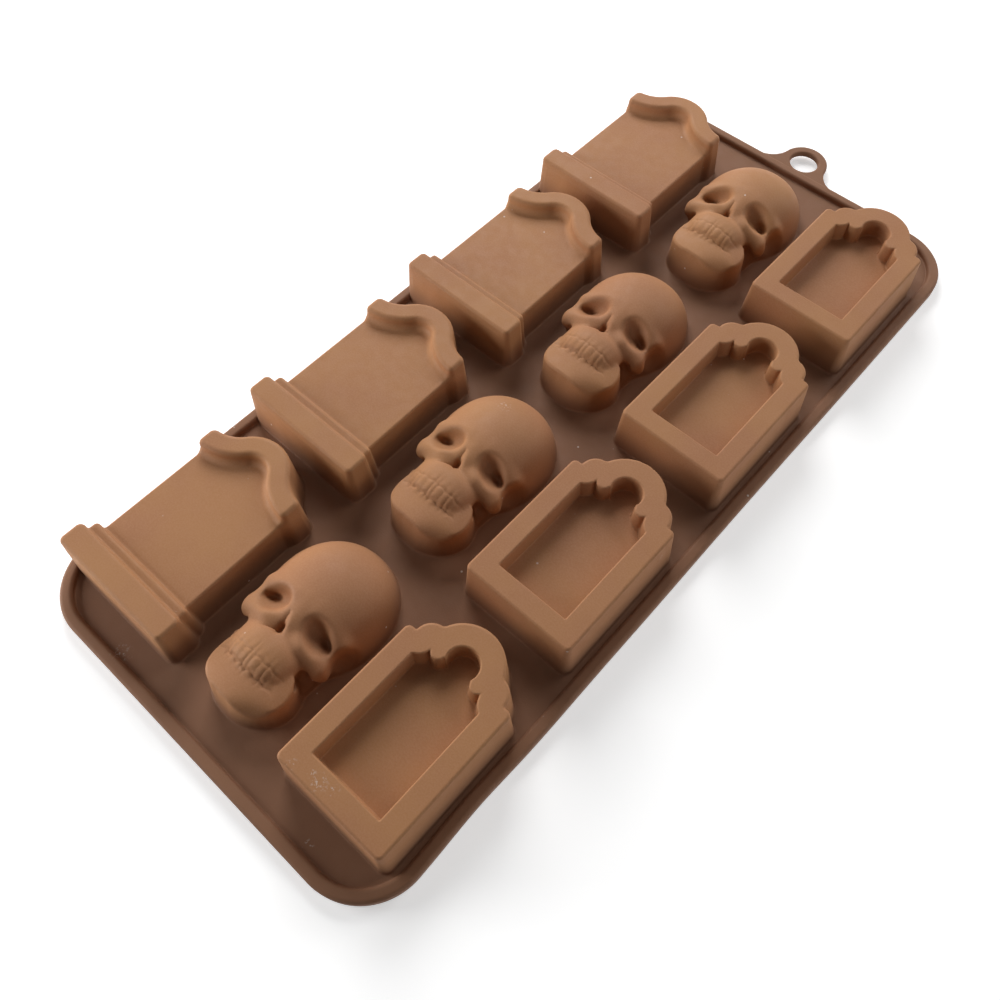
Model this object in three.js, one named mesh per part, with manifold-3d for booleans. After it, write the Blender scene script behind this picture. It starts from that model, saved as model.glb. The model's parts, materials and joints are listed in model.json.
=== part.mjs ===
// A silicone chocolate mould lying upside down: a thin sheet with a beaded edge and a hanging tab,
// and twelve hollow cups on it, in four rows of a tombstone, a skull and an arched frame.
// Millimetres, +Z up, +Y towards the hanging tab. The sheet rests on z = 0.

import * as THREE from 'three';
import { mergeVertices } from 'three/addons/utils/BufferGeometryUtils.js';
import Module from 'manifold-3d';

const wasm = await Module();
wasm.setup();

// Sheet, edge bead and hanging tab
const sheetCornerRadius = 15;
const sheetThickness = 1.5;
const rimWidth = 2.9;
const rimHeight = 3;
const rimRounding = 0.8;
const rimClearance = 0.3;
const tabBase = 0.8;
const tabThickness = 1.8;
const tabHoleDiameter = 8;
const tabRingWidth = 2.7;
const tabHoleDistance = 4.7;
const tabFlareRadius = 7;

// Rows and columns of cups, and the room between them and to the sheet's edges
const rowCount = 4;
const rowGap = 5.1;
const columnGap = 1.7;
const sideMargin = 2.4;
const nearMargin = 10.5;
const farMargin = 8.2;
const cupHeight = 13.8;
const wallThickness = 1.4;
const wallDraft = 0.9;
const edgeChamfer = 0.5;
const cornerRounding = 1.3;
const hollowRounding = 0.3;
const bandWidth = 5.1;

// Tombstone: a plinth, a small moulding, a slab and an ogee cap
const plinthWidth = 34.2;
const plinthDepth = 5.9;
const mouldingWidth = 31;
const mouldingDepth = 2.3;
const mouldingHeight = 12.2;
const slabWidth = 27.8;
const slabHeight = 10.5;
const capWidth = 29.5;
const capDistance = 40.6;
const capRise = 6.9;

// Arched frame round a sunk panel
const frameSetback = 0.9;
const frameWidth = 28.3;
const frameSideLength = 35.9;
const frameLedge = 2.2;
const archRise = 0.8;
const archRadius = 8.8;
const scallopRise = 0.2;
const scallopRadius = 3.9;
const panelDepth = 4.8;
const panelDraft = 0.4;
const coveDrop = 0.8;
const coveSetback = 1.25;
const coveRadius = 3.5;
const lobeDrop = 0.5;
const lobeRadius = 1.6;

// Skull: cranium, face, cheekbones, eye sockets, nose and the pockets between cheek and jaw
const skullHeight = 14.3;
const skullMiddle = 27;
const skullEdgeHeight = 2;
const skullDraft = 0.5;
const craniumWidth = 28.4;
const craniumLength = 31.2;
const craniumDistance = 29.5;
const craniumPower = 2.2;
const faceShift = 0.6;
const faceWidth = 20.8;
const faceLength = 33;
const faceHeight = 12.6;
const facePower = 3;
const faceFlatness = 4;
const cheekSpan = 18.6;
const cheekDistance = 18.8;
const cheekWidth = 8.4;
const cheekLength = 7.4;
const cheekHeight = 11.2;
const cheekPower = 2.4;
const featureBlend = 1.8;
const eyeSpan = 14;
const eyeDistance = 22.7;
const eyeWidth = 7.6;
const eyeLength = 5;
const eyeDepth = 4.4;
const eyeTilt = 0.44;
const noseDistance = 21.1;
const noseWidth = 4;
const noseLength = 6;
const noseDepth = 2.6;
const pocketSpan = 19.6;
const pocketDistance = 14;
const pocketWidth = 5;
const pocketLength = 5;
const pocketDepth = 3;
const dipPower = 2.6;

// Steps round an arc, round the skull and from its middle to its edge
const arcSteps = 6;
const smallArcSteps = 4;
const cornerSteps = 8;
const edgeSteps = 3;
const holeSteps = 24;
const skullSteps = 48;
const skullRings = 13;
const hollowSteps = 32;
const hollowRings = 8;
const searchStep = 0.02;
const searchMargin = 2;

// A corner is rounded where its opening, in degrees, is smaller than this
const roundedBelow = 115;

// Places and sizes worked out from the sizes above
const rowPitch = capDistance + capRise + rowGap;
const columnPitch = (plinthWidth + craniumWidth) / 2 + columnGap;
const sheetWidth = 2 * (columnPitch + sideMargin) + plinthWidth;
const sheetLength = nearMargin + rowCount * rowPitch - rowGap + farMargin;
const tabRingRadius = tabHoleDiameter / 2 + tabRingWidth;
const overallLength = sheetLength + tabHoleDistance + tabRingRadius;
const nearEdge = -overallLength / 2;
const farEdge = nearEdge + sheetLength;
const sheetTop = sheetThickness;
const belowSheet = -sheetThickness;
const panelTop = cupHeight - panelDepth;
const archDistance = frameSideLength + archRise;
const scallopDistance = frameSideLength + scallopRise;
const coveDistance = frameSideLength - coveDrop;
const lobeDistance = frameSideLength - lobeDrop;
const openingHalfWidth = frameWidth / 2 - bandWidth;
const openingArchRadius = archRadius - bandWidth;

const { clamp, degToRad, lerp, radToDeg } = THREE.MathUtils;
const sharpestOpening = degToRad(roundedBelow);
const vec2 = (x, y) => new THREE.Vector2(x, y);

// Triangles over a flat ring, anticlockwise seen from above
function capFaces(ring) {
  const flat = ring.map((point) => vec2(point.x, point.y));
  return THREE.ShapeUtils.triangulateShape(flat, []).map(([a, b, c]) => {
    const turn = flat[b].clone().sub(flat[a]).cross(flat[c].clone().sub(flat[a]));
    return turn > 0 ? [a, b, c] : [a, c, b];
  });
}

// A closed body through rings of points that run anticlockwise seen from above, with each face
// of four corners split along its shorter diagonal. A looped one goes back from its last ring to
// its first; any other is capped at both ends.
function loft(rings, looped = false) {
  const count = rings[0].length;
  const points = rings.flat();
  const index = [];
  const bands = looped ? rings.length : rings.length - 1;
  for (let i = 0; i < bands; i += 1) {
    const low = i * count;
    const high = ((i + 1) % rings.length) * count;
    for (let j = 0; j < count; j += 1) {
      const next = (j + 1) % count;
      const [a, b, c, d] = [low + j, low + next, high + next, high + j];
      const rising = points[a].distanceTo(points[c]) < points[b].distanceTo(points[d]);
      if (rising) index.push(a, b, c, a, c, d);
      else index.push(a, b, d, b, c, d);
    }
  }
  if (!looped) {
    const last = bands * count;
    for (const [a, b, c] of capFaces(rings[0])) index.push(a, c, b);
    for (const [a, b, c] of capFaces(rings[bands])) index.push(last + a, last + b, last + c);
  }
  const positions = points.flatMap((point) => [point.x, point.y, point.z]);
  const geometry = new THREE.BufferGeometry();
  geometry.setAttribute('position', new THREE.Float32BufferAttribute(positions, 3));
  geometry.setIndex(index);
  return geometry;
}

function atHeight(outline, z) {
  return outline.map((point) => new THREE.Vector3(point.x, point.y, z));
}

// Points that fall together are merged, and faces that this leaves without area are dropped
function solidOf(geometry) {
  const bare = geometry.clone();
  bare.deleteAttribute('normal');
  bare.deleteAttribute('uv');
  const merged = mergeVertices(bare, 1e-5);
  const corners = Array.from(merged.index.array);
  const faces = [];
  for (let i = 0; i < corners.length; i += 3) {
    const [a, b, c] = corners.slice(i, i + 3);
    if (a !== b && b !== c && c !== a) faces.push(a, b, c);
  }
  return new wasm.Manifold(new wasm.Mesh({
    numProp: 3,
    vertProperties: new Float32Array(merged.attributes.position.array),
    triVerts: new Uint32Array(faces),
  }));
}

function geometryOf(solid) {
  const mesh = solid.getMesh();
  const geometry = new THREE.BufferGeometry();
  geometry.setAttribute('position', new THREE.BufferAttribute(new Float32Array(mesh.vertProperties), 3));
  geometry.setIndex(new THREE.BufferAttribute(new Uint32Array(mesh.triVerts), 1));
  geometry.computeVertexNormals();
  return geometry;
}

function joined(solids) {
  return solids.reduce((whole, solid) => whole.add(solid));
}

// Points on an arc, with angles in degrees and both ends included
function arc(centre, radius, from, to, steps) {
  return Array.from({ length: steps + 1 }, (unused, i) => {
    const angle = degToRad(lerp(from, to, i / steps));
    return vec2(centre.x + radius * Math.cos(angle), centre.y + radius * Math.sin(angle));
  });
}

// The right half of an outline, from front to back, completed by its mirror image.
// Points on the axis are used once.
function mirrored(right) {
  const offAxis = right.filter((point) => point.x > 1e-6);
  return [...right, ...offAxis.map((point) => vec2(-point.x, point.y)).reverse()];
}

// An outline whose sharp outer corners are cut to an arc of three points
function rounded(outline, grow) {
  const radius = Math.max(cornerRounding + grow, hollowRounding);
  return outline.flatMap((corner, i) => {
    const before = outline.at(i - 1).clone().sub(corner).normalize();
    const after = outline[(i + 1) % outline.length].clone().sub(corner).normalize();
    const opening = Math.acos(clamp(before.dot(after), -1, 1));
    const outer = after.cross(before) > 0;
    if (!outer || opening > sharpestOpening) return [corner];
    const setback = radius / Math.tan(opening / 2);
    const inwards = before.clone().add(after).normalize();
    const depth = radius / Math.sin(opening / 2) - radius;
    return [
      corner.clone().addScaledVector(before, setback),
      corner.clone().addScaledVector(inwards, depth),
      corner.clone().addScaledVector(after, setback),
    ];
  });
}

// The angles, in degrees, at which two circles meet, or face each other where they don't touch.
// side is 1 for the meeting point on the left of the line from the first centre to the second.
function meeting(first, firstRadius, second, secondRadius, side) {
  const between = second.clone().sub(first);
  const distance = between.length();
  const heading = radToDeg(Math.atan2(between.y, between.x));
  const spread = (near, far) => {
    const cosine = (distance ** 2 + near ** 2 - far ** 2) / (2 * distance * near);
    return radToDeg(Math.acos(clamp(cosine, -1, 1)));
  };
  return [
    heading + side * spread(firstRadius, secondRadius),
    heading + 180 - side * spread(secondRadius, firstRadius),
  ];
}

// A cup's outside, moved out by extra: walls that lean out to the foot, and a chamfer at the top
function outside(outline, top, extra = 0) {
  return solidOf(loft([
    atHeight(outline(extra + wallDraft), sheetTop),
    atHeight(outline(extra), top - edgeChamfer),
    atHeight(outline(extra - edgeChamfer), top),
  ]));
}

// A cup's hollow: the outside drawn in by the wall, and carried down through the sheet
function inside(outline, top) {
  const lean = wallDraft / (top - edgeChamfer - sheetTop);
  const foot = wallDraft + lean * (sheetTop - belowSheet);
  return solidOf(loft([
    atHeight(outline(foot - wallThickness), belowSheet),
    atHeight(outline(-wallThickness), top - wallThickness),
  ]));
}

function roundedRectangle(inset) {
  const radius = sheetCornerRadius - inset;
  const x = sheetWidth / 2 - sheetCornerRadius;
  const low = nearEdge + sheetCornerRadius;
  const high = farEdge - sheetCornerRadius;
  return mirrored([
    ...arc(vec2(x, low), radius, -90, 0, cornerSteps),
    ...arc(vec2(x, high), radius, 0, 90, cornerSteps),
  ]);
}

// The bead round the edge, on top of the sheet
function rimSolid() {
  const crest = rimHeight - rimRounding;
  const outer = arc(vec2(-rimRounding, crest), rimRounding, 0, 90, edgeSteps);
  const inner = arc(vec2(rimRounding - rimWidth, crest), rimRounding, 90, 180, edgeSteps);
  const section = [vec2(-rimWidth, sheetTop), vec2(0, sheetTop), ...outer, ...inner];
  return solidOf(loft(section.map((point) => atHeight(roundedRectangle(-point.x), point.y)), true));
}

// The hanging tab: a ring that flares into the far edge
function tabGeometry() {
  const holeCentre = vec2(0, farEdge + tabHoleDistance);
  const sum = tabRingRadius + tabFlareRadius;
  const rise = tabFlareRadius - tabHoleDistance;
  const flareCentre = vec2(Math.sqrt(sum ** 2 - rise ** 2), farEdge + tabFlareRadius);
  const touch = radToDeg(Math.atan2(rise, flareCentre.x));
  const flare = arc(flareCentre, tabFlareRadius, 270, 180 + touch, cornerSteps);
  const ring = arc(holeCentre, tabRingRadius, touch, 90, cornerSteps);
  const shape = new THREE.Shape(mirrored([...flare, ...ring.slice(1)]));
  shape.holes.push(new THREE.Path(arc(holeCentre, tabHoleDiameter / 2, 360, 0, holeSteps).slice(1)));
  const geometry = new THREE.ExtrudeGeometry(shape, { depth: tabThickness, bevelEnabled: false });
  return geometry.translate(0, 0, tabBase);
}

// A block with an upright back, whose front is given for each growth
function block(width, front, back) {
  return (grow) => {
    const half = width / 2 + grow;
    return rounded(mirrored([vec2(half, front(grow)), vec2(half, back + Math.min(grow, 0))]), grow);
  };
}

// The right half of the cap's ogee edge, moved out by grow: a hollow arc, then a full one
function ogee(grow, end) {
  const half = capWidth / 2;
  const radius = (half ** 2 + capRise ** 2) / (4 * capRise);
  const sweep = 2 * radToDeg(Math.atan(capRise / half));
  const hollowRadius = radius - grow;
  const start = radToDeg(Math.asin(Math.max(half - end, 0) / hollowRadius));
  const hollow = arc(vec2(half, capDistance + radius), hollowRadius, 270 - start, 270 - sweep, arcSteps);
  const full = arc(vec2(0, capDistance + capRise - radius), radius + grow, 90 - sweep, 90, arcSteps);
  hollow[0].x = end;
  return [...hollow, ...full.slice(1)];
}

// The cap is a band of one width that follows the ogee
function capOutline(grow) {
  const end = capWidth / 2 + grow;
  const outer = mirrored(ogee(grow, end));
  const inner = mirrored(ogee(-bandWidth - grow, end)).reverse();
  return rounded([...outer, ...inner], grow);
}

function slabOutline(grow) {
  const half = slabWidth / 2 + grow;
  return mirrored([vec2(half, plinthDepth / 2), ...ogee(-bandWidth / 2, half)]);
}

const plinthOutline = block(plinthWidth, (grow) => -grow, plinthDepth);
const mouldingOutline = block(mouldingWidth, () => plinthDepth / 2, plinthDepth + mouldingDepth);

const tombstoneBlocks = [
  [plinthOutline, cupHeight],
  [mouldingOutline, mouldingHeight],
  [slabOutline, slabHeight],
  [capOutline, cupHeight],
];

function tombstoneOutside() {
  return joined(tombstoneBlocks.map(([outline, top]) => outside(outline, top)));
}

function tombstoneInside() {
  return joined(tombstoneBlocks.map(([outline, top]) => inside(outline, top)));
}

// The frame's outer edge: straight sides, a ledge, a scallop on each side and a round arch
function frameOutline(grow) {
  const half = frameWidth / 2 + grow;
  const scallop = vec2(frameWidth / 2 - frameLedge - scallopRadius, scallopDistance);
  const arch = vec2(0, archDistance);
  const rise = grow - scallopRise;
  const start = radToDeg(Math.asin(rise / (scallopRadius + grow)));
  const [end, archStart] = meeting(scallop, scallopRadius + grow, arch, archRadius + grow, -1);
  return rounded(mirrored([
    vec2(half, -grow),
    vec2(half, frameSideLength + grow),
    ...arc(scallop, scallopRadius + grow, start, end, smallArcSteps),
    ...arc(arch, archRadius + grow, archStart - 360, 90, arcSteps).slice(1),
  ]), grow);
}

// The panel's opening in the frame: straight sides, a cove, a lobe and a small arch
function openingOutline(grow) {
  const half = openingHalfWidth + grow;
  const cove = vec2(openingHalfWidth + coveSetback, coveDistance);
  const coveEdge = coveRadius - grow;
  const lobe = vec2(openingArchRadius + lobeRadius, lobeDistance);
  const lobeEdge = lobeRadius - grow;
  const arch = vec2(0, archDistance);
  const archEdge = openingArchRadius + grow;
  const coveStart = 180 + radToDeg(Math.acos(clamp((cove.x - half) / coveEdge, -1, 1)));
  const [coveEnd, lobeStart] = meeting(cove, coveEdge, lobe, lobeEdge, 1);
  const [lobeEnd, archStart] = meeting(lobe, lobeEdge, arch, archEdge, 1);
  return mirrored([
    vec2(half, bandWidth - grow),
    ...arc(cove, coveEdge, coveStart, coveEnd, smallArcSteps),
    ...arc(lobe, lobeEdge, lobeStart, lobeEnd, smallArcSteps),
    ...arc(arch, archEdge, archStart - 360, 90, arcSteps),
  ]);
}

function frameOutside() {
  const pocket = solidOf(loft([
    atHeight(openingOutline(-panelDraft), panelTop),
    atHeight(openingOutline(0), cupHeight - edgeChamfer),
    atHeight(openingOutline(edgeChamfer), cupHeight),
    atHeight(openingOutline(edgeChamfer), cupHeight + edgeChamfer),
  ]));
  return outside(frameOutline, cupHeight).subtract(pocket);
}

// The hollow runs up under the frame's band and stops below the sunk panel
function frameInside() {
  const core = solidOf(loft([
    atHeight(openingOutline(wallThickness - panelDraft), panelTop - wallThickness),
    atHeight(openingOutline(wallThickness), cupHeight),
  ]));
  return inside(frameOutline, cupHeight).subtract(core);
}

// A rounded mound over an ellipse, negative outside it
function mound(x, y, width, length, height, power, flatness = power) {
  const left = 1 - Math.abs((2 * x) / width) ** power - Math.abs((2 * y) / length) ** power;
  return Math.sign(left) * height * Math.abs(left) ** (1 / flatness);
}

// A soft-edged dip, deepest in its middle
function dip(x, y, width, length, depth) {
  const across = Math.abs((2 * x) / width) ** dipPower;
  const along = Math.abs((2 * y) / length) ** dipPower;
  return depth * Math.exp(-across - along);
}

function blended(a, b) {
  const share = clamp(0.5 + (a - b) / (2 * featureBlend), 0, 1);
  return lerp(b, a, share) + featureBlend * share * (1 - share);
}

// The skull's height over the sheet, with x from its axis and y from the foot of its chin.
// Its dips are made wider by spread.
function skullSurface(x, y, spread) {
  const side = Math.abs(x);
  const cranium = mound(side, y - craniumDistance, craniumWidth, craniumLength,
    skullHeight - sheetTop, craniumPower);
  const face = mound(x - faceShift, y - faceLength / 2, faceWidth, faceLength,
    faceHeight - sheetTop, facePower, faceFlatness);
  const cheek = mound(side - cheekSpan / 2, y - cheekDistance, cheekWidth, cheekLength,
    cheekHeight - sheetTop, cheekPower);
  const across = side - eyeSpan / 2;
  const along = y - eyeDistance;
  const eye = dip(
    across * Math.cos(eyeTilt) - along * Math.sin(eyeTilt),
    across * Math.sin(eyeTilt) + along * Math.cos(eyeTilt),
    eyeWidth + spread, eyeLength + spread, eyeDepth,
  );
  const nose = dip(side, y - noseDistance, noseWidth + spread, noseLength + spread, noseDepth);
  const pocket = dip(side - pocketSpan / 2, y - pocketDistance,
    pocketWidth + spread, pocketLength + spread, pocketDepth);
  return blended(blended(cranium, face), cheek) - eye - nose - pocket;
}

// How far the skull reaches from its middle before it falls to its edge height
function skullReach(angle) {
  const height = (reach) => skullSurface(reach * Math.cos(angle), skullMiddle + reach * Math.sin(angle), 0);
  let reach = skullMiddle + searchMargin;
  while (height(reach) < skullEdgeHeight) reach -= searchStep;
  return reach;
}

// A body under the skull's surface. Its rings lie closer together towards the steep edge.
function skullBody(steps, rings, foot, inset) {
  const angles = Array.from({ length: steps }, (unused, i) => (2 * Math.PI * (i + 0.5)) / steps);
  const reaches = angles.map(skullReach);
  const ring = (share) => angles.map((angle, i) => {
    const [outX, outY] = [Math.cos(angle), Math.sin(angle)];
    const full = reaches[i] * share;
    const near = full - inset * share;
    const outer = skullSurface(outX * full, skullMiddle + outY * full, 2 * inset);
    const here = skullSurface(outX * near, skullMiddle + outY * near, 2 * inset);
    const height = Math.min(outer, here) - inset;
    return new THREE.Vector3(outX * near, skullMiddle + outY * near, sheetTop + height);
  });
  const footRing = angles.map((angle, i) => {
    const reach = reaches[i] + skullDraft - inset;
    return new THREE.Vector3(reach * Math.cos(angle), skullMiddle + reach * Math.sin(angle), foot);
  });
  const shares = Array.from({ length: rings }, (unused, i) => Math.cos((i * Math.PI) / (2 * rings)));
  return solidOf(loft([footRing, ...shares.map(ring)]));
}

function skullOutside() {
  return skullBody(skullSteps, skullRings, sheetTop, 0);
}

function skullInside() {
  return skullBody(hollowSteps, hollowRings, belowSheet, wallThickness);
}

// The three kinds of cup, from the left column to the right one, with how far each is set back
const cupKinds = [
  ['tombstone_cup', 0, tombstoneOutside(), tombstoneInside()],
  ['skull_cup', 0, skullOutside(), skullInside()],
  ['frame_cup', frameSetback, frameOutside(), frameInside()],
];

const silicone = { color: 0xa97b59, roughness: 0.62, metalness: 0 };
const mould = new THREE.Group();

function addPiece(name, geometry, x = 0, y = 0) {
  const mesh = new THREE.Mesh(geometry, new THREE.MeshStandardMaterial(silicone));
  mesh.name = name;
  mesh.position.set(x, y, 0);
  mould.add(mesh);
}

const outline = roundedRectangle(0);
let sheet = solidOf(loft([atHeight(outline, 0), atHeight(outline, sheetTop)]));
let rim = rimSolid();

cupKinds.forEach(([name, setback, shell, hollow], column) => {
  const cup = geometryOf(shell.subtract(hollow));
  for (let row = 0; row < rowCount; row += 1) {
    const x = (column - 1) * columnPitch;
    const y = nearEdge + nearMargin + setback + row * rowPitch;
    sheet = sheet.subtract(hollow.translate([x, y, 0]));
    addPiece(`${name}_${row + 1}`, cup.clone(), x, y);
  }
});

// The plinths stand across the bead, which is cut clear of them
const plinth = outside(plinthOutline, cupHeight, rimClearance);
for (let row = 0; row < rowCount; row += 1) {
  rim = rim.subtract(plinth.translate([-columnPitch, nearEdge + nearMargin + row * rowPitch, 0]));
}

addPiece('sheet', geometryOf(sheet));
addPiece('rim_bead', geometryOf(rim));
addPiece('hanging_tab', tabGeometry());

export default mould;
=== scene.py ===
# A silicone chocolate mould lying upside down on a pale floor: twelve hollow cups on a thin sheet
# with a beaded edge and a hanging tab. Shapes are worked out in millimetres and built in metres.

import json
import math

import bmesh
import bpy
import numpy as np
from mathutils import Matrix, Vector

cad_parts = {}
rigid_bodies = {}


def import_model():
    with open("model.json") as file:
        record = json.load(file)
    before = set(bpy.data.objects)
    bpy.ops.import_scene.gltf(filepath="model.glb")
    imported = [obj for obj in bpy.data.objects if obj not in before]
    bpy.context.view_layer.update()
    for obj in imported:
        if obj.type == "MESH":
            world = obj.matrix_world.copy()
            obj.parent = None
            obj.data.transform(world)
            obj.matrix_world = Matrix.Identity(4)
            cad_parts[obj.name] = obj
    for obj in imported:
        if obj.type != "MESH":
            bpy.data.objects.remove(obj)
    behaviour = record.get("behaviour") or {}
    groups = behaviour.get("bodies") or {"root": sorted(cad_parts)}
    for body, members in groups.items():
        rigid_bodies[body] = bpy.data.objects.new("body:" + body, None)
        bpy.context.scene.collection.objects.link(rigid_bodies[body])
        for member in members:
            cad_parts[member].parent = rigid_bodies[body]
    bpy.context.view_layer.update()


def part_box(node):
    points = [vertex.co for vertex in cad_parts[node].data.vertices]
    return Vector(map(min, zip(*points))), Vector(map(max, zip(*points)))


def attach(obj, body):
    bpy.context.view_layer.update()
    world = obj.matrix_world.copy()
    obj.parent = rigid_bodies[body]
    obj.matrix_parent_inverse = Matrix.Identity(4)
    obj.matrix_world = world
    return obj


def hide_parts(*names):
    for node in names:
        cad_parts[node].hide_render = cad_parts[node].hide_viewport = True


for leftover in list(bpy.data.objects):
    bpy.data.objects.remove(leftover)

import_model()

MM = 0.001

# Sheet, bead and tab
SHEET_TOP = 1.5
SHEET_CORNER = 15
SHEET_INSET = 0.9
BEAD_WIDTH = 2.9
BEAD_HEIGHT = 3
BEAD_ROUNDING = 0.9
BEAD_FILLET = 0.35
BEAD_BOTTOM = 1.2
BEAD_CHAMFER = 0.1
TAB_LOW = 0.8
TAB_HIGH = 2.6
TAB_ROUNDING = 0.7
TAB_RING = 6.7
TAB_HOLE = 4
TAB_DISTANCE = 4.7
TAB_FLARE = 7
TAB_ROOT = 1.5

# Where the sheet's right edge is drawn in: distance from the near edge, length and depth of each
# place, and the stretch across the sheet over which the pull grows
BOWS = [(32, 8, 0.5), (70, 10, 0.1), (119, 22, 0.2)]
BOW_START = 38
BOW_LENGTH = 10

# What all cups share
CUP_TOP = 13.8
WALL = 1.4
DRAFT = 0.9
BAND = 5.1
FOOT_FILLET = 0.5
FLANGE = 0.6
FLANGE_BOTTOM = 1.2
FLANGE_SINK = 0.002
COLLAR_INSET = 0.6
COLLAR_OVERLAP = 0.05
COLLAR_BOTTOM = 0.01
MOUTH_ROUNDING = 0.3
LEAN = DRAFT / (CUP_TOP - SHEET_TOP)

# Tombstone
PLINTH_WIDTH = 34.2
PLINTH_DEPTH = 5.9
PLINTH_CORNER = 1.3
PLINTH_EDGE = 0.8
MOULDING_WIDTH = 31
MOULDING_DEPTH = 2.3
MOULDING_TOP = 12.2
MOULDING_CORNER = 0.8
MOULDING_EDGE = 0.8
MOULDING_COVE = 0.5
SLAB_WIDTH = 27.8
SLAB_START = 1
SLAB_TOP = 10.5
SLAB_EDGE = 0.6
SLAB_COVE = 0.6
CAP_WIDTH = 29.5
CAP_DISTANCE = 40.6
CAP_RISE = 6.9
CAP_CORNER = 1.4
CAP_EDGE = 1.1
CAP_COVE = 1.6

# Arched frame
FRAME_WIDTH = 28.3
FRAME_SIDE = 35.9
FRAME_LEDGE = 2.2
FRAME_CORNER = 1.3
FRAME_EDGE = 0.6
ARCH_Y = 36.7
ARCH_RADIUS = 8.8
ARCH_NOTCH = 0.5
SCALLOP_Y = 36.1
SCALLOP_RADIUS = 3.9
SCALLOP_NOTCH = 0.4
PANEL_TOP = 9
PANEL_CORNER = 0.3
RECESS_FOOT = 0.3
RECESS_EDGE = 0.35
COVE_Y = 35.1
COVE_SETBACK = 1.25
COVE_RADIUS = 3.5
COVE_CUSP = 0.3
LOBE_Y = 35.4
LOBE_RADIUS = 1.6
LOBE_CUSP = 0.4

# Skull, with its left at -x: rounded bodies (centre, half sizes, boxiness), rods (start, end and the
# radius at each), and how softly each joins or cuts what is there already
CRANIUM = ((0, 29.5, 1.5), (14.4, 15.8, 12.7), 2.1)
FACE = ((0, 17, 1.5), (10.5, 15.5, 10.2), 2.4)
FACE_BLEND = 1.8
CHEEKBONE = ((5.2, 19, 9.1), (10, 18.4, 6.8), 2.8, 2.9)
CHEEKBONE_BLEND = 1.5
BROW = ((2.5, 26.5, 11.2), (10.4, 24.8, 8.2), 1.8, 2)
BROW_BLEND = 1.8
EYE_RIM = ((10.6, 24.5, 7.8), (10.8, 19.5, 7), 1.7, 1.9)
EYE_RIM_BLEND = 1
BRIDGE = ((0, 21, 10.9), (0, 27, 11.3), 1.6, 2)
BRIDGE_BLEND = 1.6
UPPER_JAW = ((0, 12.6, 5.1), (8.6, 7, 8), 2.4)
MUZZLE_X = 0.3
JAW_BLEND = 0.6

# Lower jaw: its plan, the top that falls off from a crest, and the lean of its wall. The stretches
# bring its fields near to true distances, and so does the nose's.
JAW_X = 1.6
JAW_Y = 8.3
JAW_HALF_WIDTH = 10.1
JAW_HALF_LENGTH = 8.8
JAW_LEFT_POWER = 2.5
JAW_RIGHT_POWER = 1.9
JAW_END = 13.8
JAW_END_ROUNDING = 1
JAW_TOP = 11.1
JAW_CREST_Y = 6.5
JAW_SIDE_FALL = 0.018
JAW_FRONT_FALL = 0.012
JAW_BACK_FALL = 0.015
JAW_CORNER_FALL = 0.09
JAW_ROUNDING = 0.6
JAW_WALL_STRETCH = 1.1
JAW_TOP_STRETCH = 0.94
JAW_LEAN = 0.22
JAW_LEAN_X = -1
JAW_LEAN_REACH = 8
JAW_LEAN_PEAK = 1.2
JAW_LEAN_LEAST = 0.2

# Eyes: a dish and a hole in it, in directions along and across the eye
EYE_X = 7
EYE_Y = 22.1
EYE_TILT = -27
EYE_DISH = ((0, -0.2, 12.5), (4.1, 2.8, 3.5))
EYE_DISH_BLEND = 1.5
EYE_LEVEL = 10.4
EYE_SLANT = 0.3
EYE_HOLE = ((0.7, 0.3, EYE_LEVEL), (2.3, 1.3, 3.3))
EYE_HOLE_BLEND = 1

# Nose: a three-cornered pit with a hole at its foot
NOSE_X = -1.1
NOSE_TOP = 21.8
NOSE_FOOT = 17.5
NOSE_FOOT_SLANT = 0.28
NOSE_LEFT = 2.9
NOSE_RIGHT = 2.8
NOSE_LEVEL = 13
NOSE_SLOPE = 1
NOSE_STEEP = 1.5
NOSE_STRETCH = 0.6
NOSE_HOLE = ((NOSE_X + 0.4, NOSE_FOOT + 1, NOSE_LEVEL - 1), (0.8, 1.3, 2.6))
NOSE_HOLE_BLEND = 0.4
NOSE_BLEND = 1

# Hollows beside and under the cheekbone, and behind the right brow
CHEEK_GAP = ((8.5, 15, 7.3), (9, 12, 8), 1.3, 0.8)
CHEEK_PIT = ((8.8, 14.8, 6), (13.5, 14.2, 3.6), 1.6, 2.4)
CHEEK_PIT_BLEND = 0.8
CHEEK_BLEND = 1
TEMPLE = ((14.8, 22, 7), (3.6, 3.8, 5))
TEMPLE_BLEND = 1.5

# Teeth: lines across the jaws, a column for each tooth, and how the lines and columns waver
ROOT_LINE = 15
CROWN_LINE = 11.2
BITE_LINE = 8.1
CROWN_EDGE = 0.5
CROWN_GROOVE_DEPTH = 0.14
CROWN_GROOVE_WIDTH = 0.35
BITE_GROOVE_DEPTH = 0.26
BITE_GROOVE_WIDTH = 0.4
TOOTH_WIDTH = 1.6
TOOTH_MEAN = 0.6
TOOTH_FADE = 2.5
ROOT_RISE = 0.09
CROWN_RISE = 0.02
ROW_HALF_WIDTH = 8.4
ROW_FADE = 2.5
COLUMN_WAVER = (0.25, 1.3)
LINE_WAVER = (0.16, 2.3)

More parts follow.
